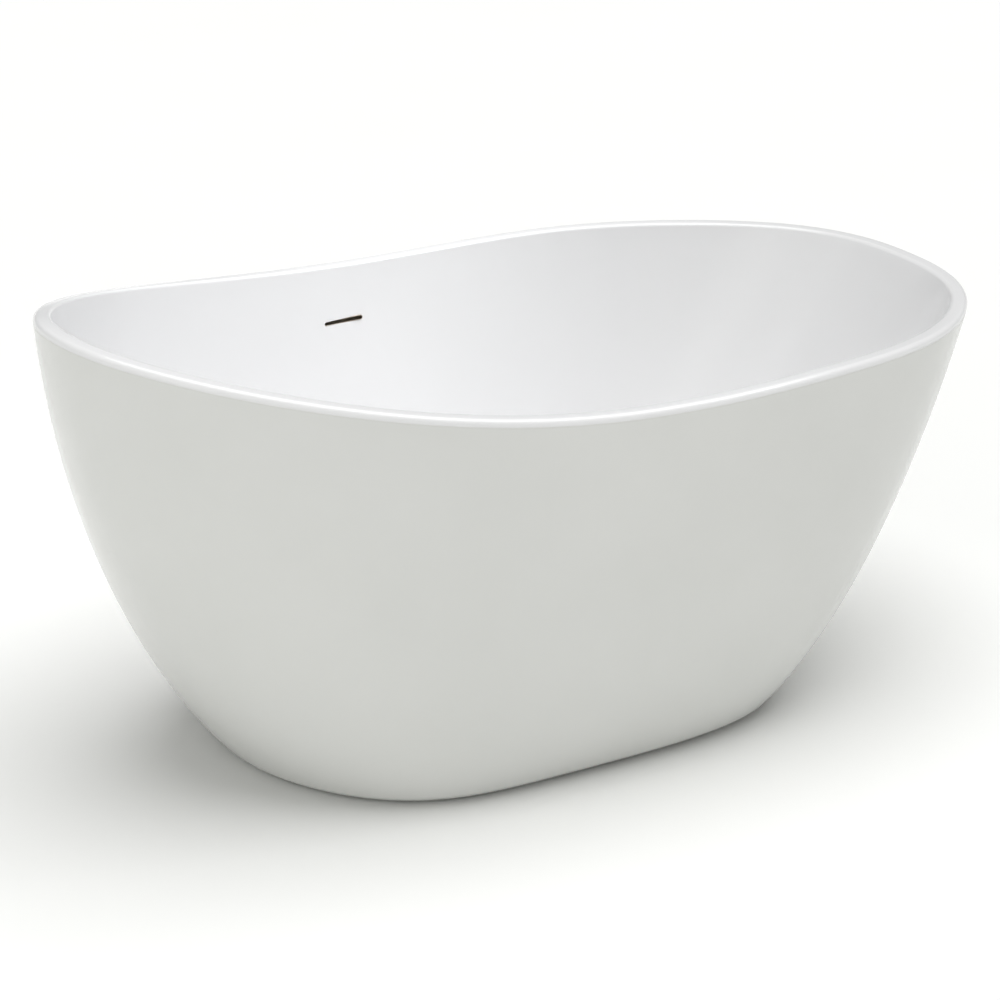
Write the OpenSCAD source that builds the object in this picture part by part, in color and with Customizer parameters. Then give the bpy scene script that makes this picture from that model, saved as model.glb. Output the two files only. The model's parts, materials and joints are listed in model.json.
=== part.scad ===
// Freestanding single-slipper bathtub: a double-walled acrylic tub on a steel frame with levelling feet,
// a toe-tap drain and a slot overflow. Millimetres, +Z up, head end towards -X, overflow in the +Y wall.
// The origin is on the floor, under the middle of the rim's length.

/* [Outer wall] */
// Length over the rim
tub_l = 1500; // [1250:10:1800]
// Width over the rim
tub_w = 825; // [690:5:990]
// Rim height at the raised head end
head_h = 719; // [620:1:860]
// Rim height along the sides
side_h = 590; // [484:1:700]
// Rim height at the foot end
foot_h = 580; // [475:1:685]
// Base outline, from the origin to the head end
base_head = 470; // [430:1:565]
// Base outline, from the origin to the foot end
base_foot = 332; // [310:1:400]
// Width of the base outline
base_w = 615; // [560:1:740]
// Radius of the bottom edge
base_r = 14; // [8:1:17]
// Height of the wall's bottom edge over the floor
floor_gap = 3; // [2:0.5:5]
// Thickness of the outer wall
apron_t = 5; // [4:0.5:6]
// Width of the flange turned in at the bottom
apron_flange = 32; // [26:1:40]

/* [Rim] */
// Width of the rim's top
rim_w = 26; // [22:1:31]
// Radius of the rim's outer edge
rim_out_r = 9; // [6:0.5:11]
// Radius of the rim's inner edge
rim_in_r = 5; // [3:0.5:6]
// Straight part of the lip that laps the outer wall, under the rounded edge
lip_flat = 1.5; // [0.5:0.5:8]
// Bond line between the lip and the outer wall
bond_gap = 0.6; // [0.4:0.1:1]

/* [Basin] */
// Height of the bathing floor
floor_h = 150; // [128:1:180]
// Thickness of the basin's shell
basin_t = 6; // [5:0.5:7]
// Flat floor, from the origin to its head end
floor_head = 430; // [360:1:470]
// Flat floor, from the origin to its foot end
floor_foot = 350; // [300:1:365]
// Width of the flat floor
floor_w = 470; // [400:1:520]
// Thickness of the board under the floor
board_t = 18; // [12:1:22]

/* [Drain] */
// Drain and overflow, along the tub from the origin
drain_x = -78; // [-90:1:-50]
// Radius of the drain's flange
flange_r = 35; // [32:0.5:40]
// Outer radius of the drain's threaded stem
stem_r = 24; // [22:0.5:26]
// Wall of the drain's stem
stem_wall = 3.5; // [3:0.5:4]
// Travel of the toe-tap plug
plug_travel = 9; // [7:0.5:10]
// Radius of the plug's cap
cap_r = 31; // [28:0.5:32]
// Radius of the plug's rod
rod_r = 4; // [3.4:0.1:4.6]
// Outer radius of the tailpiece, 1-1/2 inch
tail_r = 19.05; // [16:0.05:20]
// Height of the tailpiece's open end over the floor
tail_h = 12; // [10:1:14]

/* [Overflow] */
// Length of the overflow slot
slot_w = 70; // [60:1:84]
// Height of the overflow slot
slot_h = 7; // [6:0.5:8.5]
// Height of the slot's middle over the floor
slot_z = 508; // [450:1:515]
// Outer radius of the overflow hose
hose_r = 12.5; // [10.5:0.5:13]
// Wall of the overflow hose
hose_wall = 3; // [2.5:0.5:3.5]

/* [Frame and feet] */
// Side of the square frame tube
tube_s = 25; // [20:1:30]
// Wall of the frame tube
tube_wall = 2; // [1.5:0.5:2.5]
// Length of the frame
frame_l = 660; // [550:5:700]
// Width of the frame
frame_w = 345; // [285:5:365]
// Radius of the levelling stud, M12
stud_r = 6; // [5:0.1:7.2]
// Radius of the foot's pad
pad_r = 25; // [21:0.5:30]
// Pitch of the stud's thread
stud_pitch = 1.75; // [1.5:0.25:2]

/* [Hidden] */
$fn = 64;

// Fits and small gaps
run_gap = 0.05;
air_gap = 0.3;
cut = 1;

// Height of the lip, from the rim's top to the bond line
lip_h = rim_out_r + lip_flat;

// Shape of the outer wall: [power, root, lean left at the rim] for each direction
head_flare = [2.0, 0.9, 1.19];
foot_flare = [1.19, 0.9, 1.31];
side_flare = [4.05, 0.9, 1.25];
// Squareness of the plan outline at the base and at the rim, and how it grows towards the foot end
base_square = 3.5;
rim_square = 2.23;
base_square_skew = 1.28;
rim_square_skew = 0.1;
square_root = 0.5;
// Taper of the rim's outline towards the head end
rim_taper = 0.085;
// Where the rim starts to rise towards the head, and how full its shoulder is
rise_start = 0.12;
rise_shoulder = 0.29;
// Where the rim dips to the foot end, as cosines round the outline
dip_start = 0.29;
dip_end = 0.85;

// Shape of the basin's wall: [power, root] for each direction, and the floor's squareness
head_cove = [1.4, 0.5];
foot_cove = [1.0, 0.62];
side_cove = [1.15, 0.5];
floor_square = 3;

// Steps round the outline and up the walls
around = 72;
inner_rows = 9;
outer_rows = 11;

// ---- Outline of the tub ----

function clamp01(t) = max(0, min(1, t));
function ease(t) = clamp01(t) * clamp01(t) * (3 - 2 * clamp01(t));
function flare(t, f) = 1 - pow(1 - pow(clamp01(t), f[1]), f[0]);
// Distance from the origin to the wall at height z: r0 at the floor, r1 at the rim's height h
function reach(z, h, r0, r1, f) = r0 + (r1 - r0) * flare(z / (f[2] * h), f) / flare(1 / f[2], f);
function head_reach(z) = reach(z, head_h - rim_out_r, base_head, tub_l / 2, head_flare);
function foot_reach(z) = reach(z, foot_h - rim_out_r, base_foot, tub_l / 2, foot_flare);
function side_reach(z) = reach(z, side_h - rim_out_r, base_w / 2, tub_w / 2, side_flare);
// Height of the rim at angle a, where 0 is the foot end and 180 the head end
function rim_z(a) =
    let (rise = clamp01((rise_start - cos(a)) / (1 + rise_start)))
    let (dip = ease((cos(a) - dip_start) / (dip_end - dip_start)))
    side_h + (head_h - side_h) * rise * rise * (1 + rise_shoulder - rise_shoulder * rise)
    - (side_h - foot_h) * dip;
// A squared circle's two coordinates at angle a
function squared(a, n) = [
    sign(cos(a)) * pow(abs(cos(a)), 2 / n),
    sign(sin(a)) * pow(abs(sin(a)), 2 / n)
];
// Point of the outer wall at angle a and height z, moved inwards by inset
function wall_point(a, z, inset) =
    let (t = pow(clamp01(z / side_h), square_root))
    let (skew = base_square_skew + (rim_square_skew - base_square_skew) * t)
    let (n = base_square + (rim_square - base_square) * t + skew * cos(a))
    let (q = squared(a, n))
    let (half = (head_reach(z) + foot_reach(z)) / 2 - inset)
    let (wide = side_reach(z) - inset)
    [(foot_reach(z) - head_reach(z)) / 2 + half * q[0], wide * q[1] * (1 + rim_taper * t * q[0]), z];
// Point of the flat floor's edge at angle a, grown by grow
function floor_point(a, grow) =
    let (q = squared(a, floor_square))
    let (half = (floor_head + floor_foot) / 2 + grow)
    [(floor_foot - floor_head) / 2 + half * q[0], (floor_w / 2 + grow) * q[1]];
// Share of the way from the floor's edge to the rim, at share s of the height
function cove(a, s) =
    let (end = cos(a) > 0 ? foot_cove : head_cove)
    let (f = side_cove + (end - side_cove) * cos(a) * cos(a))
    1 - pow(1 - pow(s, f[1]), f[0]);
// Point of the basin's wall at angle a and share s of its height, moved out and down by shift
function basin_point(a, s, shift) =
    let (top = wall_point(a, rim_z(a) - rim_in_r, rim_w - shift))
    let (low = floor_point(a, shift))
    let (k = cove(a, s))
    let (z = floor_h + (rim_z(a) - rim_in_r - floor_h) * s - shift)
    [low[0] + (top[0] - low[0]) * k, low[1] + (top[1] - low[1]) * k, z];
function basin_at_z(a, z, shift) =
    basin_point(a, (z + shift - floor_h) / (rim_z(a) - rim_in_r - floor_h), shift);
// Angles round the back wall, found by halving, at which the basin and the outer wall pass x
function basin_angle(x, z, lo = 45, hi = 135, n = 22) =
    n == 0 ? (lo + hi) / 2
    : basin_at_z((lo + hi) / 2, z, 0)[0] > x ? basin_angle(x, z, (lo + hi) / 2, hi, n - 1)
    : basin_angle(x, z, lo, (lo + hi) / 2, n - 1);
function wall_angle(x, z, lo = 45, hi = 135, n = 22) =
    n == 0 ? (lo + hi) / 2
    : wall_point((lo + hi) / 2, z, 0)[0] > x ? wall_angle(x, z, (lo + hi) / 2, hi, n - 1)
    : wall_angle(x, z, lo, (lo + hi) / 2, n - 1);
// Depth of the back wall's two faces that the overflow lies between
function basin_back(x, z) = basin_at_z(basin_angle(x, z), z, basin_t)[1];
function basin_face(x, z) = basin_at_z(basin_angle(x, z), z, 0)[1];
function apron_back(x, z) = wall_point(wall_angle(x, z), z, apron_t)[1];

// ---- Lofts through rings of points ----

// Triangles between each ring and the next, for rings of n points
function band(first, second, n) = [
    for (i = [0:n - 1]) let (j = (i + 1) % n) each [
        [first * n + i, first * n + j, second * n + j],
        [first * n + i, second * n + j, second * n + i]
    ]
];

// Rings joined in turn, with flat caps on the first and the last
module capped_loft(rings) {
    n = len(rings[0]);
    last = len(rings) - 1;
    polyhedron(
        points = [for (ring = rings) each ring],
        faces = [
            [for (i = [n - 1:-1:0]) i],
            for (r = [0:last - 1]) each band(r, r + 1, n),
            [for (i = [0:n - 1]) last * n + i]
        ],
        convexity = 10
    );
}

// Rings joined in turn and the last back to the first
module looped_loft(rings) {
    n = len(rings[0]);
    count = len(rings);
    polyhedron(
        points = [for (ring = rings) each ring],
        faces = [for (r = [0:count - 1]) each band(r, (r + 1) % count, n)],
        convexity = 10
    );
}

// ---- Heights of the stack under the floor ----

under_z = floor_h - basin_t;
board_z = under_z - board_t;
tube_z = board_z - tube_s;
plate_t = 4;
plate_z = tube_z - plate_t;

// ---- Shells ----

module basin() {
    angles = [for (i = [0:around - 1]) 360 * i / around];
    wall = [for (j = [0:inner_rows]) [for (a = angles) basin_point(a, pow(j / inner_rows, 1.7), 0)]];
    // The rim as pairs of inset and drop, over its inner edge, its outer edge and round the lip
    inner_edge = [for (t = [30, 60, 90]) [rim_w - rim_in_r * (1 - cos(t)), rim_in_r * (1 - sin(t))]];
    outer_edge = [for (t = [90, 60, 30, 0]) [rim_out_r * (1 - cos(t)), rim_out_r * (1 - sin(t))]];
    lip = [[0, lip_h], [apron_t, lip_h], [apron_t, basin_t]];
    rim = [
        for (e = concat(inner_edge, outer_edge, lip))
            [for (a = angles) wall_point(a, rim_z(a) - e[1], e[0])]
    ];
    under = [for (j = [inner_rows:-1:0]) [for (a = angles) basin_point(a, pow(j / inner_rows, 1.7), basin_t)]];
    color("white") difference() {
        capped_loft(concat(wall, rim, under));
        translate([drain_x, 0, floor_h - seat_d]) cylinder(r = flange_r + air_gap, h = seat_d + cut);
        translate([drain_x, 0, under_z - cut]) cylinder(r = stem_r + 1, h = basin_t + 2 * cut);
        overflow_opening(slot_w, slot_h, trim_start, trim_end);
    }
}

module apron() {
    angles = [for (i = [0:around - 1]) 360 * i / around];
    low = floor_gap + base_r;
    function high(a) = rim_z(a) - lip_h - bond_gap;
    function row(a, s, inset) = wall_point(a, low + (high(a) - low) * s, inset);
    outside = [for (j = [outer_rows:-1:0]) [for (a = angles) row(a, pow(j / outer_rows, 1.5), 0)]];
    edge = [
        for (t = [30, 60, 90])
            [for (a = angles) wall_point(a, low - base_r * sin(t), base_r * (1 - cos(t)))]
    ];
    flange = [
        for (e = [[apron_flange, 0], [apron_flange, apron_t], [base_r, apron_t]])
            [for (a = angles) wall_point(a, floor_gap + e[1], e[0])]
    ];
    inside = [for (j = [0:outer_rows]) [for (a = angles) row(a, pow(j / outer_rows, 1.5), apron_t)]];
    color("white") looped_loft(concat(outside, edge, flange, inside));
}

// ---- Board and frame ----

board_end_edge = 30;
board_side_edge = 15;
board_corner = 90;
// The frame stands a little towards the foot end, clear of the head end's slope
frame_shift = 36;
frame_x = (base_foot - base_head) / 2 + frame_shift;
rail_y = (frame_w - tube_s) / 2;
nut_af = 19;
plate_side = 46;
// Distance of the corner feet from the frame's ends, and of the screws from the feet's plates
foot_x_in = 60;
screw_clear = 20;
cross_mid_x = frame_x + frame_l / 5;
head_cross_x = frame_x - (frame_l - tube_s) / 2;
foot_cross_x = frame_x + (frame_l - tube_s) / 2;
screw_r = 2;
screw_bite = 12;
screw_head_r = 4;
screw_head_h = 2.5;
screw_rows = 4;
// Room round the drain for its nut and a spanner
board_hole_room = 13;
board_hole_r = flange_r + board_hole_room;
screw_span = frame_l - 2 * foot_x_in - plate_side - 2 * screw_clear;
screw_spots = [
    for (side = [-1, 1]) for (i = [0:screw_rows - 1])
        [frame_x + screw_span * (i / (screw_rows - 1) - 0.5), side * rail_y]
];

// A flat plate with round corners
module round_plate(l, w, r, h) {
    linear_extrude(h) union() {
        square([l - 2 * r, w], center = true);
        square([l, w - 2 * r], center = true);
        for (x = [-1, 1]) for (y = [-1, 1]) translate([x * (l / 2 - r), y * (w / 2 - r)]) circle(r = r);
    }
}

module base_board() {
    color("burlywood") difference() {
        translate([frame_x, 0, board_z])
            round_plate(frame_l + 2 * board_end_edge, frame_w + 2 * board_side_edge, board_corner, board_t);
        translate([drain_x, 0, board_z - cut]) cylinder(r = board_hole_r, h = board_t + 2 * cut);
        for (p = screw_spots) translate([p[0], p[1], board_z - cut])
            cylinder(r = screw_r + run_gap, h = screw_bite + cut + 1);
    }
}

// Square tube along X, centred on the origin in X and Y, standing on z = 0
module tube(l) {
    difference() {
        translate([-l / 2, -tube_s / 2, 0]) cube([l, tube_s, tube_s]);
        translate([-l / 2 - cut, -tube_s / 2 + tube_wall, tube_wall])
            cube([l + 2 * cut, tube_s - 2 * tube_wall, tube_s - 2 * tube_wall]);
    }
}

module rail(side) {
    color("silver") difference() {
        translate([frame_x, side * rail_y, tube_z]) tube(frame_l);
        for (p = screw_spots) translate([p[0], p[1], tube_z - cut])
            cylinder(r = screw_r + run_gap, h = tube_s + 2 * cut);
    }
}

module frame_rail_front() { rail(-1); }
module frame_rail_back() { rail(1); }

module cross_tube(x) {
    color("silver") translate([x, 0, tube_z]) rotate(90) tube(2 * rail_y - tube_s);
}

module frame_cross_head() { cross_tube(head_cross_x); }
module frame_cross_mid() { cross_tube(cross_mid_x); }
module frame_cross_foot() { cross_tube(foot_cross_x); }

// Screws up through the rails into the board
module board_screws() {
    color("gainsboro") for (p = screw_spots) translate([p[0], p[1], tube_z]) union() {
        cylinder(r = screw_r, h = tube_s + screw_bite);
        translate([0, 0, -screw_head_h]) cylinder(r1 = screw_head_r - 1, r2 = screw_head_r, h = screw_head_h);
    }
}

// ---- Levelling feet ----

// Room between each nut and the tube beside it
spanner_room = 8;
foot_out = tube_s / 2 + nut_af / 2 + spanner_room;
plate_lap = 2;
plate_end = 18;
feet = [
    [frame_x - frame_l / 2 + foot_x_in, -rail_y - foot_out],
    [frame_x + frame_l / 2 - foot_x_in, -rail_y - foot_out],
    [frame_x - frame_l / 2 + foot_x_in, rail_y + foot_out],
    [frame_x + frame_l / 2 - foot_x_in, rail_y + foot_out],
    [cross_mid_x + foot_out, 0]
];
weld_nut_h = 10;
lock_nut_h = 9;
nut_gap = 0.2;
pad_h = 14;
pad_socket = 8;
stud_base_r = 9;
collar_h = 6;
collar_af = 17;
pad_wall = 8.5;
pad_foot = 4;
stud_spare = 17;
stud_top = plate_z + plate_t + stud_spare;
stud_chamfer = 0.6 * stud_pitch;

// A hexagonal prism from its width across the flats
module hexagon(af, h) { cylinder(r = af / 2 / cos(30), h = h, $fn = 6); }

module hex_nut(af, h) {
    difference() {
        hexagon(af, h);
        translate([0, 0, -cut]) cylinder(r = stud_r + run_gap, h = h + 2 * cut);
    }
}

// Plates welded under the tubes, reaching out to each foot
module foot_plates() {
    color("silver") for (i = [0:len(feet) - 1]) {
        f = feet[i];
        turn = i == 4 ? 0 : 90 * sign(f[1]);
        translate([f[0], f[1], plate_z]) rotate(turn) difference() {
            translate([-foot_out - tube_s / 2 + plate_lap, -plate_side / 2, 0])
                cube([foot_out + tube_s / 2 - plate_lap + plate_end, plate_side, plate_t]);
            translate([0, 0, -cut]) cylinder(r = stud_r + 2 * air_gap, h = plate_t + 2 * cut);
        }
    }
}

module foot_weld_nuts() {
    color("silver") for (f = feet) translate([f[0], f[1], plate_z - weld_nut_h])
        hex_nut(nut_af, weld_nut_h);
}

module foot_lock_nuts() {
    color("gainsboro") for (f = feet) translate([f[0], f[1], plate_z - weld_nut_h - nut_gap - lock_nut_h])
        hex_nut(nut_af, lock_nut_h);
}

// Moulded pad with a round socket that the stud turns in
module foot_pad(i) {
    color("dimgray") translate([feet[i][0], feet[i][1], 0]) rotate_extrude() polygon([
        [0, 0], [pad_r - 1, 0], [pad_r, 1], [pad_r, pad_foot],
        [stud_base_r + pad_wall + 0.5, pad_h - 1], [stud_base_r + pad_wall, pad_h],
        [stud_base_r + run_gap, pad_h], [stud_base_r + run_gap, pad_h - pad_socket], [0, pad_h - pad_socket]
    ]);
}

// Threaded stud with a base disc and a spanner collar
module foot_stud(i) {
    color("lightgray") translate([feet[i][0], feet[i][1], 0]) union() {
        translate([0, 0, pad_h - pad_socket + 0.1]) cylinder(r = stud_base_r, h = pad_socket);
        translate([0, 0, pad_h + 0.1]) hexagon(collar_af, collar_h);
        translate([0, 0, pad_h]) cylinder(r = stud_r, h = stud_top - stud_chamfer - pad_h);
        translate([0, 0, stud_top - stud_chamfer])
            cylinder(r1 = stud_r, r2 = stud_r - stud_chamfer, h = stud_chamfer);
    }
}

module foot_pad_1() { foot_pad(0); }
module foot_pad_2() { foot_pad(1); }
module foot_pad_3() { foot_pad(2); }
module foot_pad_4() { foot_pad(3); }
module foot_pad_5() { foot_pad(4); }
module foot_stud_1() { foot_stud(0); }
module foot_stud_2() { foot_stud(1); }
module foot_stud_3() { foot_stud(2); }
module foot_stud_4() { foot_stud(3); }
module foot_stud_5() { foot_stud(4); }

// ---- Drain ----

seat_d = 2.5;
seal_t = 1;
flange_t = 2.5;
flange_z = floor_h - seat_d + seal_t;
flange_top = flange_z + flange_t;
stem_len = 48;
stem_end = flange_z - stem_len;
washer_t = 4;
lock_nut_t = 12;
lock_nut_z = under_z - washer_t - lock_nut_t;
bore_r = stem_r - stem_wall;
boss_h = 6;
boss_depth = 30;
boss_top = flange_z - boss_depth;
boss_r = rod_r + 5;
tail_screw_r = rod_r + 1;
waste_top = lock_nut_z - 2;
waste_socket_z = stem_end - 1;
waste_wall = 4.5;
port_drop = 23;
port_z = waste_socket_z - port_drop;
tail_drop = 15;
tail_top = port_z - tail_drop;
tail_socket = 15;
waste_bottom = tail_top - tail_socket;
tail_wall = 1.2;
// Stop bead on the tailpiece, just under the slip nut
bead_h = 2.5;
bead_out = 0.8;
port_r = hose_r - hose_wall - run_gap;
port_wall = 2;
port_len = 30;

module at_drain() { translate([drain_x, 0, 0]) children(); }
module ring(r_out, r_in, h) {
    difference() {
        cylinder(r = r_out, h = h);
        translate([0, 0, -cut]) cylinder(r = r_in, h = h + 2 * cut);
    }
}

// Flange, threaded stem and the spider that carries the cartridge
module drain_flange() {
    color("silver") at_drain() difference() {
        union() {
            rotate_extrude() polygon([
                [bore_r, stem_end], [stem_r, stem_end], [stem_r, flange_z], [flange_r, flange_z],
                [flange_r, flange_top - 1], [flange_r - 1.5, flange_top], [bore_r + 1.5, flange_top],
                [bore_r, flange_top - 1.5]
            ]);
            translate([0, 0, boss_top - boss_h]) intersection() {
                union() {
                    cylinder(r = boss_r, h = boss_h);
                    for (a = [0, 90]) rotate(a) translate([-stem_r, -1.5, 0]) cube([2 * stem_r, 3, boss_h]);
                }
                cylinder(r = bore_r + 1, h = boss_h);
            }
        }
        translate([0, 0, boss_top - boss_h - cut]) cylinder(r = tail_screw_r + run_gap, h = boss_h + 2 * cut);
    }
}

module drain_seal() {
    color("black") at_drain() translate([0, 0, floor_h - seat_d]) ring(flange_r - 1, stem_r + 1, seal_t);
}

module drain_washer() {
    color("black") at_drain() translate([0, 0, under_z - washer_t]) ring(flange_r, stem_r + run_gap, washer_t);
}

module drain_lock_nut() {
    color("dimgray") at_drain() translate([0, 0, lock_nut_z]) difference() {
        union() {
            cylinder(r = flange_r, h = 4);
            hexagon(2 * flange_r - 6, lock_nut_t);
        }
        translate([0, 0, -cut]) cylinder(r = stem_r + run_gap, h = lock_nut_t + 2 * cut);
    }
}

// Tee that screws on the stem, with the overflow's port at the back and the outlet's socket below
module waste_body() {
    top_r = stem_r + run_gap + waste_wall;
    low_r = tail_r + waste_wall;
    color("whitesmoke") at_drain() difference() {
        union() {
            rotate_extrude() polygon([
                [0, waste_bottom], [low_r, waste_bottom], [low_r, waste_socket_z - 8], [top_r, waste_socket_z - 2],
                [top_r, waste_top], [0, waste_top]
            ]);
            translate([0, 0, port_z]) rotate([-90, 0, 0]) cylinder(r = port_r, h = low_r + port_len);
            translate([0, 0, port_z]) rotate([-90, 0, 0])
                cylinder(r = port_r + port_collar, h = low_r + port_collar);
        }
        translate([0, 0, waste_socket_z]) cylinder(r = stem_r + run_gap, h = waste_top);
        translate([0, 0, tail_top]) cylinder(r = tail_r - tail_wall, h = waste_top);
        translate([0, 0, waste_bottom - cut]) cylinder(r = tail_r + run_gap, h = tail_top - waste_bottom + cut);
        translate([0, 0, port_z]) rotate([-90, 0, 0]) cylinder(r = port_r - port_wall, h = low_r + port_len + cut);
    }
}

nut_grip = 9;
slip_washer_t = 3;
slip_floor = 5;
slip_z = waste_bottom - slip_washer_t - slip_floor;

module slip_nut() {
    inner_r = tail_r + waste_wall + run_gap;
    h = slip_floor + slip_washer_t + nut_grip;
    ribs = 8;
    color("whitesmoke") at_drain() translate([0, 0, slip_z]) difference() {
        union() {
            cylinder(r = inner_r + 4, h = h);
            for (i = [0:ribs - 1]) rotate(360 * i / ribs) translate([inner_r + 3, -3, 0]) cube([3.5, 6, h]);
        }
        translate([0, 0, slip_floor]) cylinder(r = inner_r, h = h);
        translate([0, 0, -cut]) cylinder(r = tail_r + run_gap, h = h);
    }
}

module slip_washer() {
    color("black") at_drain() translate([0, 0, slip_z + slip_floor])
        ring(tail_r + waste_wall - 0.5, tail_r + run_gap, slip_washer_t);
}

module tailpiece() {
    color("silver") at_drain() difference() {
        union() {
            translate([0, 0, tail_h]) cylinder(r = tail_r, h = tail_top - 1 - tail_h);
            translate([0, 0, slip_z - air_gap - bead_h]) cylinder(r = tail_r + bead_out, h = bead_h);
        }
        translate([0, 0, tail_h - cut]) cylinder(r = tail_r - tail_wall, h = tail_top - tail_h + cut);
    }
}

// ---- Toe-tap plug, drawn closed ----

plug_seal_t = 1.4;
cap_z = flange_top + run_gap + plug_seal_t;
cap_t = 4;
rod_in_cap = 1.5;
barrel_r = rod_r + 3.5;
barrel_wall = 1.5;
barrel_floor = boss_top + 2;
spring_len = plug_travel;
foot_t = 3;
foot_low = barrel_floor + spring_len;
guide_z = foot_low + foot_t + plug_travel + 0.5;
guide_h = 3;
wire_r = 0.5;
coils = 4;

// Domed cap with a blind hole for the rod
module plug_cap() {
    edge = 1.2;
    color("silver") at_drain() rotate_extrude() polygon([
        [rod_r + run_gap, cap_z], [cap_r - edge, cap_z], [cap_r, cap_z + edge], [cap_r - 0.6, cap_z + 2],
        for (t = [1, 0.8, 0.6, 0.4, 0.2, 0]) [(cap_r - 2) * t, cap_z + cap_t - 1.6 * t * t],
        [0, cap_z + rod_in_cap], [rod_r + run_gap, cap_z + rod_in_cap]
    ]);
}

module plug_seal() {
    color("black") at_drain() translate([0, 0, cap_z - plug_seal_t])
        ring(cap_r - 2, bore_r + 2, plug_seal_t);
}

module plug_stem() {
    color("gold") at_drain() union() {
        translate([0, 0, foot_low]) cylinder(r = barrel_r - barrel_wall - 0.2, h = foot_t);
        translate([0, 0, foot_low]) cylinder(r = rod_r, h = cap_z + rod_in_cap - run_gap - foot_low);
    }
}

// Barrel that guides the rod, with a threaded tail held in the flange's spider
module plug_cartridge() {
    color("gold") at_drain() difference() {
        union() {
            translate([0, 0, boss_top - boss_h - 2]) cylinder(r = tail_screw_r, h = boss_h + 3);
            translate([0, 0, boss_top + run_gap]) cylinder(r = barrel_r, h = guide_z + guide_h - boss_top - run_gap);
        }
        translate([0, 0, barrel_floor]) cylinder(r = barrel_r - barrel_wall, h = guide_z - barrel_floor);
        translate([0, 0, guide_z - cut]) cylinder(r = rod_r + run_gap, h = guide_h + 2 * cut);
    }
}

// Coil spring between the barrel's floor and the rod's foot
module plug_spring() {
    per_coil = 20;
    sides = 6;
    coil_r = barrel_r - barrel_wall - wire_r - 0.4;
    climb = spring_len - 2 * wire_r - 0.1;
    steps = coils * per_coil;
    rings = [
        for (i = [0:steps]) let (a = 360 * i / per_coil) [
            for (k = [0:sides - 1]) let (t = 360 * k / sides) [
                (coil_r + wire_r * cos(t)) * cos(a),
                (coil_r + wire_r * cos(t)) * sin(a),
                wire_r + 0.05 + climb * i / steps - wire_r * sin(t)
            ]
        ]
    ];
    color("gray") at_drain() translate([0, 0, barrel_floor]) capped_loft(rings);
}

// ---- Overflow ----

trim_wall = 0.8;
trim_depth = 16;
trim_lead = 0.6;
// How far the cut for the slot runs out past the liner's two ends
slot_run = 12;
trim_start = basin_face(drain_x, slot_z - slot_h / 2) - slot_run;
trim_end = trim_start + trim_depth + 2 * slot_run;
box_side = 13;
box_below = 52;
box_above = 22;
box_w = slot_w + 2 * box_side;
box_low = slot_z - box_below;
box_high = slot_z + box_above;
gasket_t = 2.5;
gasket_w = 6;
// Bed of sealant on the basin's back, and the room left before the outer wall
bed_t = 1.2;
back_room = 2;
box_wall = 2;
spigot_len = 16;
spigot_in = 5.5;

// Furthest-out point of the basin's back face over the box's width, at height z
function behind_basin(z) =
    max([for (x = [drain_x - box_w / 2, drain_x, drain_x + box_w / 2]) basin_back(x, z)]) + bed_t;
// Nearest point of the outer wall's inner face over the box's width
box_back = min([
    for (x = [drain_x - box_w / 2, drain_x, drain_x + box_w / 2]) for (z = [box_low, box_high]) apron_back(x, z)
]) - back_room;

// A slot with round ends, along Y from y0 to y1
module overflow_opening(w, h, y0, y1) {
    translate([drain_x, y0, slot_z]) rotate([-90, 0, 0]) linear_extrude(y1 - y0) union() {
        square([w - h, h], center = true);
        for (side = [-1, 1]) translate([side * (w - h) / 2, 0]) circle(d = h, $fn = 32);
    }
}

// Liner of the slot, its front face cut to the slope of the wall
module overflow_trim() {
    low_y = basin_face(drain_x, slot_z - slot_h / 2);
    high_y = basin_face(drain_x, slot_z + slot_h / 2);
    color("tan") difference() {
        overflow_opening(slot_w - 2 * run_gap, slot_h - 2 * run_gap, trim_start, low_y + trim_depth);
        overflow_opening(slot_w - 2 * trim_wall, slot_h - 2 * trim_wall, trim_start - cut, trim_end);
        translate([drain_x, (low_y + high_y) / 2 + trim_lead, slot_z])
            rotate([-atan2(high_y - low_y, slot_h), 0, 0])
                translate([-slot_w, -2 * slot_run, -slot_run]) cube([2 * slot_w, 2 * slot_run, 2 * slot_run]);
    }
}

// A wedge along X whose front follows the basin and whose back is upright
module behind_wall(w, z0, z1, front, back0, back1) {
    translate([drain_x + w / 2, 0, 0]) rotate([90, 0, -90]) linear_extrude(w) polygon([
        [-behind_basin(z0) - front, z0], [-back0, z0], [-back1, z1], [-behind_basin(z1) - front, z1]
    ]);
}

module overflow_gasket() {
    z0 = box_low;
    z1 = box_high;
    color("black") difference() {
        behind_wall(box_w, z0, z1, 0, behind_basin(z0) + gasket_t, behind_basin(z1) + gasket_t);
        behind_wall(
            box_w - 2 * gasket_w, z0 + gasket_w, z1 - gasket_w,
            -2 * gasket_t, behind_basin(z0) + 4 * gasket_t, behind_basin(z1) + 4 * gasket_t
        );
    }
}

hose_y = (behind_basin(box_low) + gasket_t + box_back) / 2;
hose_drop = 3;
hose_top = box_low - hose_drop;
// The hose passes midway between the walls where the gap turns down, then bends in to the tee
mid_share = 0.6;
mid_z = port_z + (box_low - port_z) * mid_share;
mid_y = (basin_back(drain_x, mid_z) + apron_back(drain_x, mid_z)) / 2;
upper_bend = 200;
hose_bend = 45;
corner_y = apron_back(drain_x, port_z) - hose_bend;
port_collar = 3;
port_y = tail_r + waste_wall + port_collar + 1;
hose_path = [[hose_y, hose_top], [mid_y, mid_z], [corner_y, port_z], [port_y, port_z]];
hose_radii = [0, upper_bend, hose_bend, 0];
bend_steps = 14;
hose_sides = 20;
// The bore is a polygon that clears the round spigots inside it
hose_bore_r = (port_r + run_gap) / cos(180 / hose_sides);
first_lean = atan2(hose_path[0][0] - mid_y, hose_path[0][1] - mid_z);

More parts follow.
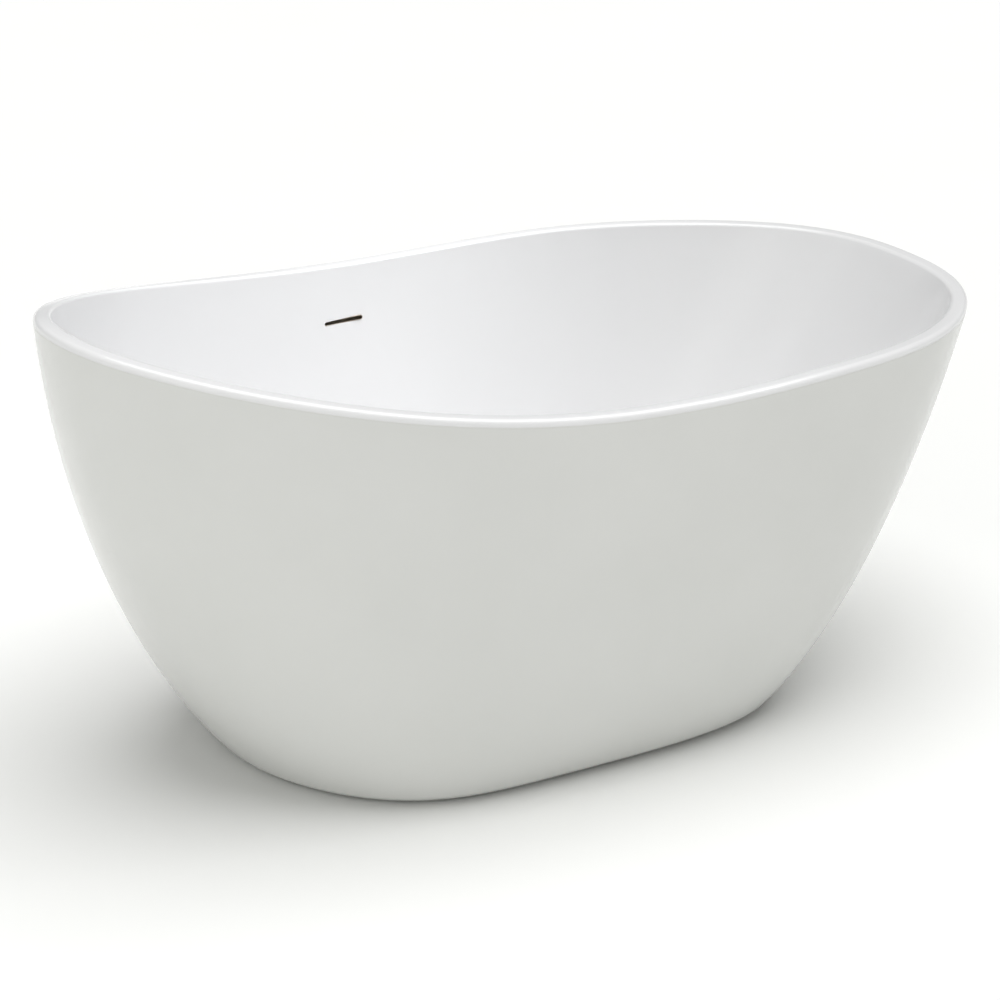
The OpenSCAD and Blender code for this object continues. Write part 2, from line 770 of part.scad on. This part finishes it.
// Moulded box that gathers the water, open to the slot, with a spigot below
module overflow_box() {
    front = gasket_t + run_gap;
    color("whitesmoke") difference() {
        union() {
            behind_wall(box_w, box_low, box_high, front, box_back, box_back);
            translate([drain_x, hose_y, hose_top]) rotate([180 - first_lean, 0, 0])
                translate([0, 0, -spigot_in]) cylinder(r = port_r, h = spigot_len + spigot_in);
        }
        behind_wall(
            box_w - 2 * box_wall, box_low + box_wall, box_high - box_wall,
            -2 * gasket_t, box_back - box_wall, box_back - box_wall
        );
        translate([drain_x, hose_y, hose_top]) rotate([180 - first_lean, 0, 0])
            translate([0, 0, -2 * spigot_in]) cylinder(r = port_r - port_wall, h = spigot_len + 3 * spigot_in);
    }
}

// Points of a path in the plane, with each inner corner bent to its radius
function along(path, radii) =
    let (last = len(path) - 1)
    let (dirs = [for (i = [0:last - 1]) (path[i + 1] - path[i]) / norm(path[i + 1] - path[i])])
    [
        path[0],
        for (i = [1:last - 1])
            let (turn = atan2(cross(dirs[i - 1], dirs[i]), dirs[i - 1] * dirs[i]))
            let (start = path[i] - dirs[i - 1] * radii[i] * tan(abs(turn) / 2))
            let (to_centre = sign(turn) * radii[i] * [-dirs[i - 1][1], dirs[i - 1][0]])
            for (k = [0:bend_steps]) let (a = turn * k / bend_steps)
                start + to_centre - [
                    to_centre[0] * cos(a) - to_centre[1] * sin(a),
                    to_centre[0] * sin(a) + to_centre[1] * cos(a)
                ],
        path[last]
    ];

// Rings of radius r round a path in the upright plane of the drain
function hose_rings(points, r) = [
    for (i = [0:len(points) - 1])
        let (d = points[min(i + 1, len(points) - 1)] - points[max(i - 1, 0)])
        let (across = [-d[1], d[0]] / norm(d))
        [
            for (k = [0:hose_sides - 1]) let (t = 360 * k / hose_sides)
                [drain_x + r * cos(t), points[i][0] + across[0] * r * sin(t), points[i][1] + across[1] * r * sin(t)]
        ]
];

function reversed(list) = [for (i = [len(list) - 1:-1:0]) list[i]];

module overflow_hose() {
    points = along(hose_path, hose_radii);
    color("lightgray") looped_loft(concat(
        hose_rings(points, hose_r), reversed(hose_rings(points, hose_bore_r))
    ));
}

// Worm-drive clamps at the two ends of the hose, each set in from the end
clamp_in = 4;
module clamp_ring() {
    clamp_h = 9;
    band_t = 1.2;
    saddle = [10, 6];
    worm_r = 2.6;
    worm_l = 16;
    difference() {
        union() {
            cylinder(r = hose_r + band_t, h = clamp_h);
            translate([-saddle[0] / 2, hose_r, 0]) cube([saddle[0], saddle[1], clamp_h]);
            translate([-worm_l / 2, hose_r + saddle[1] - worm_r / 2, clamp_h / 2])
                rotate([0, 90, 0]) cylinder(r = worm_r, h = worm_l);
        }
        translate([0, 0, -cut]) cylinder(r = hose_r + run_gap, h = clamp_h + 2 * cut);
    }
}

module hose_clamps() {
    color("silver") translate([drain_x, hose_y, hose_top]) rotate([180 - first_lean, 0, 0])
        translate([0, 0, clamp_in]) rotate(90) clamp_ring();
    color("silver") translate([drain_x, port_y + clamp_in, port_z]) rotate([-90, 0, 0]) rotate(180) clamp_ring();
}

basin();
apron();
base_board();
frame_rail_front();
frame_rail_back();
frame_cross_head();
frame_cross_mid();
frame_cross_foot();
board_screws();
foot_plates();
foot_weld_nuts();
foot_lock_nuts();
foot_pad_1();
foot_pad_2();
foot_pad_3();
foot_pad_4();
foot_pad_5();
foot_stud_1();
foot_stud_2();
foot_stud_3();
foot_stud_4();
foot_stud_5();
drain_flange();
drain_seal();
drain_washer();
drain_lock_nut();
waste_body();
slip_nut();
slip_washer();
tailpiece();
plug_cap();
plug_seal();
plug_stem();
plug_cartridge();
plug_spring();
overflow_trim();
overflow_gasket();
overflow_box();
overflow_hose();
hose_clamps();
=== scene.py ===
"""Looks of a freestanding slipper bathtub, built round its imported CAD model.

Metres, +Z up, head end towards -X, overflow in the +Y wall. The origin is on the floor.
"""
import json
import math

import bmesh
import bpy
import numpy as np
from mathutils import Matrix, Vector


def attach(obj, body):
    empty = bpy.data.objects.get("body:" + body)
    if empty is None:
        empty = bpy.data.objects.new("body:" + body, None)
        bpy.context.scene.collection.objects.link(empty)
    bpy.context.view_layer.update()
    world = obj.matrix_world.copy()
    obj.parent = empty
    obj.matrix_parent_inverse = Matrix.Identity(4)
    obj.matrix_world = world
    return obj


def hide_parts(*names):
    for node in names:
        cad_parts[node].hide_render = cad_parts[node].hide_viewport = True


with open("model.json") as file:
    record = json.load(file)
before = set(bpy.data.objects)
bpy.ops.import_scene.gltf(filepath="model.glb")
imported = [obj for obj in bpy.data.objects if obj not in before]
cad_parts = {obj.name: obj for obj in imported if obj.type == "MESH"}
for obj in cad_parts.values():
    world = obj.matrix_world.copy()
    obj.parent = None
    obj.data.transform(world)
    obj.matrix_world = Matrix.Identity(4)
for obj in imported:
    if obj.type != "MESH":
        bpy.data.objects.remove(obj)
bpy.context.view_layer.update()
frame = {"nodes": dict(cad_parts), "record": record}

nodes = frame["nodes"]

# ---- Sizes of the two shells, as in the CAD model ----

TUB_L = 1.5
TUB_W = 0.825
HEAD_H = 0.719
SIDE_H = 0.590
FOOT_H = 0.580
BASE_HEAD = 0.470
BASE_FOOT = 0.332
BASE_W = 0.615
BASE_R = 0.014
FLOOR_GAP = 0.003
APRON_T = 0.005
APRON_FLANGE = 0.032
RIM_W = 0.026
RIM_OUT_R = 0.009
RIM_IN_R = 0.005
LIP_H = RIM_OUT_R + 0.0015
BOND_GAP = 0.0006
FLOOR_H = 0.150
BASIN_T = 0.006
FLOOR_HEAD = 0.430
FLOOR_FOOT = 0.350
FLOOR_W = 0.470
DRAIN_X = -0.078
RECESS_R = 0.0353
RECESS_DEPTH = 0.0025
DRAIN_HOLE_R = 0.025
SLOT_W = 0.070
SLOT_H = 0.007
SLOT_Z = 0.508

# [power, root, lean left at the rim] of the outer wall, and [power, root] of the basin's wall
HEAD_FLARE = (2.0, 0.9, 1.19)
FOOT_FLARE = (1.19, 0.9, 1.31)
SIDE_FLARE = (4.05, 0.9, 1.25)
HEAD_COVE = (1.4, 0.5)
FOOT_COVE = (1.0, 0.62)
SIDE_COVE = (1.15, 0.5)
BASE_SQUARE, RIM_SQUARE = 3.5, 2.23
BASE_SKEW, RIM_SKEW = 1.28, 0.1
SQUARE_ROOT = 0.5
FLOOR_SQUARE = 3
RIM_TAPER = 0.085
RISE_START, RISE_SHOULDER = 0.12, 0.29
DIP_START, DIP_END = 0.29, 0.85

# Steps of the smooth shells: rows crowd towards the foot of each wall, and EDGE_R softens the lip
QUARTER_STEPS = 112
CROWD = 0.85
WALL_ROWS = 64
ARC_STEPS = 10
BASIN_CROWD = 1.5
APRON_CROWD = 1.4
FLOOR_SHARES = (0.12, 0.3, 0.5, 0.7, 0.86, 0.96)
EDGE_R = 0.0005


# ---- Shape of the tub, as functions of the angle round it ----


def clamp01(t):
    return np.clip(t, 0, 1)


def flare(t, f):
    return 1 - (1 - clamp01(t) ** f[1]) ** f[0]


def reach(z, h, low, high, f):
    """Distance from the origin to the outer wall at height z."""
    top = h - RIM_OUT_R
    return low + (high - low) * flare(z / (f[2] * top), f) / flare(1 / f[2], f)


def head_reach(z):
    return reach(z, HEAD_H, BASE_HEAD, TUB_L / 2, HEAD_FLARE)


def foot_reach(z):
    return reach(z, FOOT_H, BASE_FOOT, TUB_L / 2, FOOT_FLARE)


def side_reach(z):
    return reach(z, SIDE_H, BASE_W / 2, TUB_W / 2, SIDE_FLARE)


def rim_z(a):
    """Height of the rim at angle a, where 0 is the foot end and pi the head end."""
    rise = clamp01((RISE_START - np.cos(a)) / (1 + RISE_START))
    dip = clamp01((np.cos(a) - DIP_START) / (DIP_END - DIP_START))
    dip = dip * dip * (3 - 2 * dip)
    shoulder = rise * rise * (1 + RISE_SHOULDER - RISE_SHOULDER * rise)
    return SIDE_H + (HEAD_H - SIDE_H) * shoulder - (SIDE_H - FOOT_H) * dip


def squared(a, n):
    c, s = np.cos(a), np.sin(a)
    return np.sign(c) * np.abs(c) ** (2 / n), np.sign(s) * np.abs(s) ** (2 / n)


def wall_ring(a, z, inset):
    """Points of the outer wall at angles a and heights z, moved inwards by inset."""
    t = clamp01(z / SIDE_H) ** SQUARE_ROOT
    skew = BASE_SKEW + (RIM_SKEW - BASE_SKEW) * t
    n = BASE_SQUARE + (RIM_SQUARE - BASE_SQUARE) * t + skew * np.cos(a)
    qx, qy = squared(a, n)
    head, foot = head_reach(z), foot_reach(z)
    x = (foot - head) / 2 + ((head + foot) / 2 - inset) * qx
    y = (side_reach(z) - inset) * qy * (1 + RIM_TAPER * t * qx)
    return np.stack([x, y, z + 0 * a], axis=-1)


def floor_ring(a, grow):
    qx, qy = squared(a, FLOOR_SQUARE)
    x = (FLOOR_FOOT - FLOOR_HEAD) / 2 + ((FLOOR_HEAD + FLOOR_FOOT) / 2 + grow) * qx
    return x, (FLOOR_W / 2 + grow) * qy


def cove(a, s):
    """Share of the way from the floor's edge to the rim, at share s of the height."""
    c = np.cos(a)
    power = np.where(c > 0, FOOT_COVE[0], HEAD_COVE[0])
    root = np.where(c > 0, FOOT_COVE[1], HEAD_COVE[1])
    power = SIDE_COVE[0] + (power - SIDE_COVE[0]) * c * c
    root = SIDE_COVE[1] + (root - SIDE_COVE[1]) * c * c
    return 1 - (1 - s ** root) ** power


def basin_ring(a, s, shift):
    """Points of the basin's wall at share s of its height, moved out and down by shift."""
    top = wall_ring(a, rim_z(a) - RIM_IN_R, RIM_W - shift)
    low_x, low_y = floor_ring(a, shift)
    k = cove(a, s)
    x = low_x + (top[:, 0] - low_x) * k
    y = low_y + (top[:, 1] - low_y) * k
    z = FLOOR_H + (rim_z(a) - RIM_IN_R - FLOOR_H) * s - shift
    return np.stack([x, y, z], axis=-1)


def ring_angles():
    """Angles round the tub, closer together where the squared outline turns slowly."""
    u = np.arange(4 * QUARTER_STEPS) / QUARTER_STEPS
    return (u - CROWD * np.sin(2 * math.pi * u) / (2 * math.pi)) * math.pi / 2


ANGLES = ring_angles()
HIGH = rim_z(ANGLES)


def rim_ring(inset, drop):
    return wall_ring(ANGLES, HIGH - drop, inset)


def arc(centre, radius, start, end):
    """Pairs of inset and drop along a quarter round, for angles in degrees."""
    turn = np.radians(np.linspace(start, end, ARC_STEPS + 1))
    return [(centre[0] + radius * math.cos(t), centre[1] + radius * math.sin(t)) for t in turn]


# ---- Meshes ----

SHARP_CORNER = math.radians(35)


def add_mesh(name, points, faces):
    mesh = bpy.data.meshes.new(name)
    mesh.from_pydata([tuple(p) for p in points], [], faces)
    mesh.update()
    piece = bpy.data.objects.new(name, mesh)
    bpy.context.scene.collection.objects.link(piece)
    return piece


def strips(count, around, loop):
    """Quads between each ring and the next, and from the last to the first if loop."""
    faces = []
    for r in range(count if loop else count - 1):
        here, there = r * around, (r + 1) % count * around
        for i in range(around):
            j = (i + 1) % around
            faces.append((here + i, there + i, there + j, here + j))
    return faces


def loft(name, rings, loop):
    """Surface through closed rings. Where it isn't a loop, each end closes on its own middle."""
    around = len(rings[0])
    points = np.concatenate(rings)
    faces = strips(len(rings), around, loop)
    if not loop:
        first, last = len(points), len(points) + 1
        points = np.concatenate([points, [rings[0].mean(0)], [rings[-1].mean(0)]])
        start = (len(rings) - 1) * around
        for i in range(around):
            j = (i + 1) % around
            faces.append((first, i, j))
            faces.append((last, start + j, start + i))
    return add_mesh(name, points, faces)


def smooth(piece):
    """Shades the piece smooth, apart from its corners."""
    piece.data.shade_smooth()
    piece.data.set_sharp_from_angle(angle=SHARP_CORNER)
    return piece


def cut_away(piece, cutters):
    """Takes the cutters out of the piece and removes them."""
    for cutter in cutters:
        change = piece.modifiers.new("cut", "BOOLEAN")
        change.operation = "DIFFERENCE"
        change.solver = "EXACT"
        change.object = cutter
    graph = bpy.context.evaluated_depsgraph_get()
    made = bpy.data.meshes.new_from_object(piece.evaluated_get(graph))
    piece.modifiers.clear()
    piece.data = made
    for cutter in cutters:
        bpy.data.objects.remove(cutter)
    return piece


def lathe(name, profile, centre, steps=96):
    """Closed solid of revolution about an upright axis, from (radius, height) pairs."""
    turn = np.arange(steps) * 2 * math.pi / steps
    c, s = np.cos(turn), np.sin(turn)
    rings = [
        np.stack([centre[0] + r * c, centre[1] + r * s, z + 0 * turn], axis=-1) for r, z in profile
    ]
    return loft(name, rings, False)


def slot_solid(name, y0, y1, steps=16):
    """The overflow slot with its round ends, along Y from y0 to y1."""
    turn = np.linspace(-math.pi / 2, math.pi / 2, steps + 1)
    end_x, end_r = DRAIN_X + (SLOT_W - SLOT_H) / 2, SLOT_H / 2
    right = [(end_x + end_r * math.cos(t), SLOT_Z + end_r * math.sin(t)) for t in turn]
    left = [(2 * DRAIN_X - x, 2 * SLOT_Z - z) for x, z in right]
    rings = [np.array([(x, y, z) for x, z in right + left]) for y in (y0, y1)]
    return loft(name, rings, False)


def outward(piece):
    """Turns every face to look out of the closed piece."""
    mesh = bmesh.new()
    mesh.from_mesh(piece.data)
    bmesh.ops.recalc_face_normals(mesh, faces=mesh.faces)
    mesh.to_mesh(piece.data)
    mesh.free()
    return piece


def wear(piece, material):
    """Gives the piece one material."""
    piece.data.materials.clear()
    piece.data.materials.append(material)


# ---- Materials ----


class Paint:
    """A node material under construction, with its shader and object coordinates at hand."""

    def __init__(self, name):
        self.material = bpy.data.materials.new(name)
        self.material.use_nodes = True
        self.tree = self.material.node_tree
        self.shader = self.tree.nodes["Principled BSDF"]
        self.place = self.tree.nodes.new("ShaderNodeTexCoord").outputs["Object"]

    def node(self, kind, inputs=(), **settings):
        made = self.tree.nodes.new("ShaderNode" + kind)
        for key, value in settings.items():
            setattr(made, key, value)
        for key, value in dict(inputs).items():
            if isinstance(value, bpy.types.NodeSocket):
                self.tree.links.new(value, made.inputs[key])
            else:
                made.inputs[key].default_value = value
        return made

    def stretched(self, scale, shift=(0, 0, 0)):
        return self.node("Mapping", {"Vector": self.place, "Scale": scale, "Location": shift}).outputs[0]

    def noise(self, scale, detail=3.0, at=None, rough=0.5):
        inputs = {"Vector": at or self.place, "Scale": scale, "Detail": detail, "Roughness": rough}
        return self.node("TexNoise", inputs).outputs["Fac"]

    def waves(self, scale, distortion, detail=2.0):
        """Level bands up the object, as plies, lathe marks or ribs."""
        inputs = {"Vector": self.place, "Scale": scale, "Distortion": distortion, "Detail": detail}
        return self.node("TexWave", inputs, wave_type="BANDS", bands_direction="Z").outputs["Fac"]

    def spread(self, value, low, high, start=0.3, end=0.7):
        """Stretches the middle of a texture's range over low to high."""
        inputs = {"Value": value, "From Min": start, "From Max": end, "To Min": low, "To Max": high}
        return self.node("MapRange", inputs).outputs[0]

    def mix(self, share, first, second):
        made = self.node("Mix", data_type="RGBA")
        for key, value in ((0, share), (6, first), (7, second)):
            if isinstance(value, bpy.types.NodeSocket):
                self.tree.links.new(value, made.inputs[key])
            else:
                made.inputs[key].default_value = value
        return made.outputs[2]

    def bump(self, height, depth, strength=1.0, under=None):
        inputs = {"Height": height, "Distance": depth, "Strength": strength}
        if under is not None:
            inputs["Normal"] = under
        return self.node("Bump", inputs).outputs[0]

    def set(self, **values):
        """Sets or links the shader's inputs by name, and returns the material."""
        for key, value in values.items():
            socket = self.shader.inputs[key.replace("_", " ").title().replace("Ior", "IOR")]
            if isinstance(value, bpy.types.NodeSocket):
                self.tree.links.new(value, socket)
            else:
                socket.default_value = value
        return self.material


# Range of the acrylic's roughness. One that went up to 0.30 left patches in the denoised render.
GLOSS = (0.18, 0.26)


def acrylic(name, pale, deep):
    """Sanitary acrylic: faint clouds of tone, a fine orange peel and a clear gloss."""
    p = Paint(name)
    peel = p.bump(p.noise(140.0, 2.0), 0.00012, 0.35)
    fine = p.bump(p.noise(900.0, 2.0), 0.00002, 0.3, peel)
    return p.set(
        base_color=p.mix(p.spread(p.noise(5.0, 4.0), 0, 1), pale, deep),
        roughness=p.spread(p.noise(9.0), *GLOSS), normal=fine,
        coat_weight=0.25, coat_roughness=0.06, coat_ior=1.5, ior=1.49,
    )


def metal(name, colour, rough, stretch=(1, 1, 1), scale=900.0, tint=0.85, depth=0.00002):
    """Metal with fine marks along its finish and a little darkening in patches."""
    p = Paint(name)
    marks = p.noise(scale, 4.0, p.stretched(stretch), 0.6)
    dull = tuple(c * tint for c in colour[:3]) + (1.0,)
    shade = p.mix(p.spread(p.noise(30.0, 4.0), 0, 1), colour, dull)
    return p.set(
        base_color=shade, metallic=1.0, roughness=p.spread(marks, *rough),
        normal=p.bump(marks, depth, 0.6),
    )


def moulded(name, pale, deep, rough, grain=1200.0, depth=0.00004):
    """Moulded plastic or rubber with a fine eroded grain."""
    p = Paint(name)
    pits = p.noise(grain, 3.0)
    return p.set(
        base_color=p.mix(p.spread(p.noise(25.0, 4.0), 0, 1), pale, deep),
        roughness=p.spread(pits, *rough), normal=p.bump(pits, depth, 0.8),
    )


def plywood(name):
    """Sealed plywood: long grain on its faces and plies on its edges."""
    p = Paint(name)
    grain = p.noise(60.0, 6.0, p.stretched((0.06, 1, 1)), 0.65)
    fibre = p.noise(500.0, 3.0, p.stretched((0.03, 1, 1)))
    face = p.mix(p.spread(grain, 0, 1), (0.50, 0.35, 0.20, 1), (0.30, 0.18, 0.09, 1))
    edge = p.mix(p.spread(p.waves(44.0, 1.0, 3.0), 0, 1), (0.45, 0.31, 0.18, 1), (0.20, 0.11, 0.05, 1))
    split = p.node("SeparateXYZ", {"Vector": p.node("NewGeometry").outputs["Normal"]}).outputs["Z"]
    flat = p.node("Math", {0: split}, operation="ABSOLUTE").outputs[0]
    return p.set(
        base_color=p.mix(flat, edge, face), roughness=p.spread(fibre, 0.45, 0.7),
        normal=p.bump(fibre, 0.0001, 0.5), coat_weight=0.15, coat_roughness=0.3,
    )


def turned_brass(name):
    """Brass with the fine rings of the lathe."""
    p = Paint(name)
    rings = p.waves(700.0, 0.6)
    shade = p.mix(p.spread(p.noise(60.0), 0, 1), (0.72, 0.50, 0.20, 1), (0.55, 0.36, 0.13, 1))
    return p.set(
        base_color=shade, metallic=1.0, roughness=p.spread(rings, 0.22, 0.34),
        normal=p.bump(rings, 0.00001, 0.5),
    )


def ribbed_hose(name):
    """Flexible hose with a ring of reinforcement every few millimetres."""
    p = Paint(name)
    ribs = p.waves(55.0, 0.0)
    shade = p.mix(p.spread(ribs, 0, 1), (0.42, 0.43, 0.44, 1), (0.56, 0.57, 0.58, 1))
    return p.set(
        base_color=shade, roughness=p.spread(p.noise(200.0), 0.4, 0.55),
        normal=p.bump(ribs, 0.0006, 0.8),
    )


WHITE = acrylic("basin_white", (0.805, 0.806, 0.812, 1), (0.790, 0.792, 0.797, 1))
# The apron is the basin's white acrylic painted darker and a little greener: painted shade for the outer
# wall, which faces down and away from the light
APRON_PAINTED_SHADE = acrylic("apron_white_painted_shade", (0.700, 0.705, 0.685, 1), (0.680, 0.686, 0.665, 1))
SEALANT = moulded("sealant_white", (0.76, 0.76, 0.75, 1), (0.72, 0.72, 0.71, 1), (0.35, 0.5))
POWDER_COAT = moulded(
    "powder_coat", (0.33, 0.34, 0.35, 1), (0.28, 0.29, 0.30, 1), (0.4, 0.6), grain=700.0, depth=0.00012
)
FOOT_RUBBER = moulded("foot_rubber", (0.035, 0.035, 0.037, 1), (0.05, 0.05, 0.052, 1), (0.6, 0.8))
SEAL_RUBBER = moulded("seal_rubber", (0.02, 0.02, 0.022, 1), (0.035, 0.035, 0.035, 1), (0.45, 0.65))
WASTE_PLASTIC = moulded("waste_plastic", (0.74, 0.74, 0.72, 1), (0.66, 0.66, 0.64, 1), (0.3, 0.42))
NUT_PLASTIC = moulded("nut_plastic", (0.05, 0.05, 0.054, 1), (0.075, 0.075, 0.08, 1), (0.38, 0.55))
POLISHED_NICKEL = metal(
    "polished_nickel", (0.74, 0.72, 0.69, 1), (0.06, 0.13), scale=500.0, tint=0.93, depth=0.000004
)
BRUSHED_NICKEL = metal(
    "brushed_nickel", (0.66, 0.58, 0.47, 1), (0.30, 0.42), stretch=(0.08, 1, 1), scale=1500.0
)
LOOKS = {
    "acrylic": WHITE,
    "board": plywood("board_plywood"),
    "frame_steel": POWDER_COAT,
    "zinc": metal("zinc_plate", (0.62, 0.63, 0.62, 1), (0.28, 0.42), stretch=(1, 1, 0.3)),
    "stud_steel": metal("stud_steel", (0.58, 0.58, 0.56, 1), (0.25, 0.4), stretch=(1, 1, 0.2)),
    "foot_rubber": FOOT_RUBBER,
    "nickel": POLISHED_NICKEL,
    "slot_nickel": BRUSHED_NICKEL,
    "seal_rubber": SEAL_RUBBER,
    "waste_plastic": WASTE_PLASTIC,
    "nut_plastic": NUT_PLASTIC,
    "brass": turned_brass("turned_brass"),
    "spring_steel": metal("spring_steel", (0.40, 0.40, 0.41, 1), (0.25, 0.4)),
    "hose_plastic": ribbed_hose("hose_ribbed"),
}
SLOT_OF = {part["node"]: part["material_slot"] for part in frame["record"]["subparts"]}

for name, piece in nodes.items():
    wear(piece, LOOKS[SLOT_OF[name]])

# ---- Basin: floor, wall, rim, lip and underside as one smooth shell ----


def wall_rows(crowd):
    """Shares of a wall's height, closer together towards its foot."""
    return (np.arange(WALL_ROWS + 1) / WALL_ROWS) ** crowd


def floor_rows(ring):
    """Smaller copies of the floor's outline, from the middle outwards."""
    middle = ring.mean(0)
    return [middle + (ring - middle) * share for share in FLOOR_SHARES]


def basin_shell():
    rows = wall_rows(BASIN_CROWD)
    inside = [basin_ring(ANGLES, s, 0) for s in rows]
    inner_edge = arc((RIM_W - RIM_IN_R, RIM_IN_R), RIM_IN_R, 0, -90)[1:]
    outer_edge = arc((RIM_OUT_R, RIM_OUT_R), RIM_OUT_R, -90, -180)
    lip_edge = arc((EDGE_R, LIP_H - EDGE_R), EDGE_R, 180, 90)
    lip_inside = [(APRON_T, LIP_H), (APRON_T, BASIN_T)]
    rim = [rim_ring(*p) for p in inner_edge + outer_edge + lip_edge + lip_inside]
    under = [basin_ring(ANGLES, s, BASIN_T) for s in rows[::-1]]
    rings = floor_rows(inside[0]) + inside + rim + under + floor_rows(under[-1])[::-1]
    return outward(loft("basin_shell", rings, False))


def wall_depth(x, z):
    """Depth of the basin's back wall at a place along the tub and a height."""
    a = ANGLES[(ANGLES > math.pi / 4) & (ANGLES < 3 * math.pi / 4)]
    ring = basin_ring(a, (z - FLOOR_H) / (rim_z(a) - RIM_IN_R - FLOOR_H), 0)
    order = np.argsort(ring[:, 0])
    return float(np.interp(x, ring[order, 0], ring[order, 1]))


SLOT_Y = wall_depth(DRAIN_X, SLOT_Z)
SLOT_RUN = 0.025
basin = basin_shell()
drain_cutter = lathe(
    "drain_cutter",
    [
        (DRAIN_HOLE_R, FLOOR_H - 2 * BASIN_T), (DRAIN_HOLE_R, FLOOR_H - RECESS_DEPTH),
        (RECESS_R, FLOOR_H - RECESS_DEPTH), (RECESS_R, FLOOR_H + BASIN_T),
    ],
    (DRAIN_X, 0),
)
slot_cutter = slot_solid("slot_cutter", SLOT_Y - SLOT_RUN, SLOT_Y + SLOT_RUN)
cut_away(basin, [outward(drain_cutter), outward(slot_cutter)])
smooth(basin)
wear(basin, WHITE)
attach(basin, "tub")
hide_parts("basin")

# ---- Outer wall with its turned-in bottom flange ----


def apron_shell():
    low = FLOOR_GAP + BASE_R
    high = HIGH - LIP_H - BOND_GAP
    rows = wall_rows(APRON_CROWD)

    def row(s, inset):
        return wall_ring(ANGLES, low + (high - low) * s, inset)

    def low_ring(inset, z):
        return wall_ring(ANGLES, np.full_like(ANGLES, z), inset)

    outside = [row(s, 0) for s in rows[::-1]]
    turn = np.radians(np.linspace(0, 90, ARC_STEPS + 1))[1:]
    edge = [low_ring(BASE_R * (1 - math.cos(t)), low - BASE_R * math.sin(t)) for t in turn]
    flange = [low_ring(APRON_FLANGE, FLOOR_GAP), low_ring(APRON_FLANGE, FLOOR_GAP + APRON_T)]
    back = [low_ring(BASE_R, FLOOR_GAP + APRON_T)]
    inside = [row(s, APRON_T) for s in rows]
    return outward(loft("apron_shell", outside + edge + flange + back + inside, True))


apron = smooth(apron_shell())
# The outer wall wears the darker copy of the acrylic, whose colour holds painted shade
wear(apron, APRON_PAINTED_SHADE)
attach(apron, "tub")
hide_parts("apron")

# Bead of sealant in the bond line under the lip, from just inside the outer face to near the back
BEAD_FRONT = 0.0002
BEAD_BACK = 0.0040
bead_rings = [
    rim_ring(BEAD_FRONT, LIP_H), rim_ring(BEAD_FRONT, LIP_H + BOND_GAP),
    rim_ring(BEAD_BACK, LIP_H + BOND_GAP), rim_ring(BEAD_BACK, LIP_H),
]
bead = smooth(outward(loft("lip_bead", bead_rings, True)))
wear(bead, SEALANT)
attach(bead, "tub")

# ---- Floor, light and camera ----

FLOOR_EDGE = 30.0
CORNERS = ((-1, -1), (1, -1), (1, 1), (-1, 1))
floor_points = [(x * FLOOR_EDGE, y * FLOOR_EDGE, 0.0) for x, y in CORNERS]
floor = add_mesh("studio_floor", floor_points, [(0, 1, 2, 3)])
studio = Paint("studio_floor")
cloud = studio.spread(studio.noise(0.8), 0, 1)
floor.data.materials.append(studio.set(
    base_color=studio.mix(cloud, (0.905, 0.91, 0.895, 1), (0.90, 0.905, 0.89, 1)),
    roughness=studio.spread(studio.noise(3.0), 0.75, 0.85),
))

WORLD_STRENGTH = 0.27
world = bpy.data.worlds.new("studio")
world.use_nodes = True
background = world.node_tree.nodes["Background"]
background.inputs["Color"].default_value = (1.0, 1.0, 1.0, 1)
background.inputs["Strength"].default_value = WORLD_STRENGTH
bpy.context.scene.world = world
bpy.context.scene.view_settings.view_transform = "Standard"


def aim(thing, place, target):
    """Puts a light or the camera in its place, looking at the target."""
    thing.location = place
    thing.rotation_mode = "QUATERNION"
    thing.rotation_quaternion = (Vector(target) - Vector(place)).to_track_quat("-Z", "Y")
    bpy.context.scene.collection.objects.link(thing)


def sun(name, strength, spread, towards, tint):
    """Light from far away on the side named by towards, spread over so many degrees."""
    light = bpy.data.lights.new(name, "SUN")
    light.energy = strength
    light.angle = math.radians(spread)
    light.color = tint
    aim(bpy.data.objects.new(name, light), Vector(towards) * 5, (0, 0, 0))


def spot(name, strength, cone, place, target, tint):
    """Soft lamp over the tub whose cone stays on the basin's wall."""
    light = bpy.data.lights.new(name, "SPOT")
    light.energy = strength
    light.spot_size = math.radians(cone)
    light.spot_blend = 0.6
    light.shadow_soft_size = 0.3
    light.color = tint
    aim(bpy.data.objects.new(name, light), place, target)


WHITE_LIGHT = (1.0, 1.0, 1.0)
COOL = (0.985, 0.99, 1.0)
WARM = (1.0, 1.0, 0.965)
sun("overhead", 2.45, 60, (0.17, -0.03, 1), WHITE_LIGHT)
sun("side_light", 0.50, 70, (-1, -0.25, 0.45), WARM)
sun("low_light", 0.50, 70, (-0.6, -0.8, 0.15), WARM)
spot("far_wall_light", 62, 34, (1.0, -0.5, 1.8), (-0.25, 0.33, 0.45), COOL)
spot("basin_light", 10, 52, (0.2, -0.38, 1.9), (-0.1, 0.36, 0.5), COOL)

CAMERA_TARGET = Vector((-0.0185, 0.0, 0.3192))
CAMERA_AWAY = 5.7686
CAMERA_AZIMUTH = math.radians(-31.6)
CAMERA_RISE = math.radians(21.64)
SENSOR = 36.0
FOCAL_LENGTH = 137.35
away = Vector((
    math.sin(CAMERA_AZIMUTH) * math.cos(CAMERA_RISE),
    -math.cos(CAMERA_AZIMUTH) * math.cos(CAMERA_RISE),
    math.sin(CAMERA_RISE),
))
lens = bpy.data.cameras.new("camera")
lens.sensor_width = SENSOR
lens.lens = FOCAL_LENGTH
camera = bpy.data.objects.new("camera", lens)
aim(camera, CAMERA_TARGET + away * CAMERA_AWAY, CAMERA_TARGET)
bpy.context.scene.camera = camera
